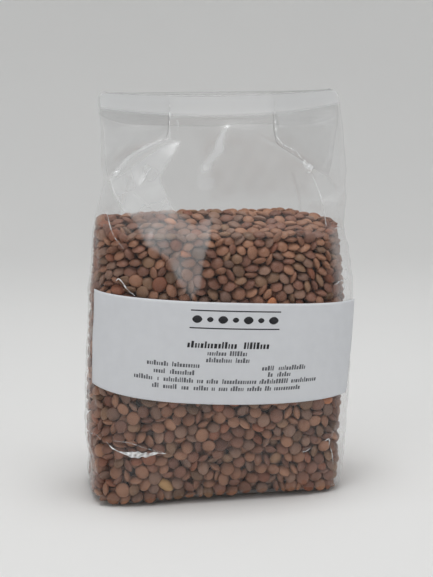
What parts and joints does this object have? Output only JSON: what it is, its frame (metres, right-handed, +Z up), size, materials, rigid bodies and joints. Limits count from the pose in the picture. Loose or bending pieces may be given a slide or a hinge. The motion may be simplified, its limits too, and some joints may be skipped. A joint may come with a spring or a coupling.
{
  "type": "bag of lentils",
  "caption": "Clear side-gusset bag of brown whole lentils standing on its block bottom, its top folded over to the back and a paper label wrapped round the front.",
  "frame": {"origin": "middle of the footprint of the whole pack's box, on the floor that the bag stands on", "axes": "+X across the bag's width to the viewer's right, +Y from the labelled front to the back, +Z up"},
  "size_m": [0.1124, 0.0652, 0.1677],
  "materials": {
    "clear_film": "glossy clear polypropylene film, a little grey and hazy, with fold lines",
    "label_paper": "matt white label paper, slightly cool",
    "label_print": "matt dark print",
    "lentils": "satin brown seed coats, from grey-brown to reddish brown, with a few bare orange seeds"
  },
  "bodies": {
    "root": {"bag": "clear_film", "label": "label_paper"}
  },
  "joints": []
}
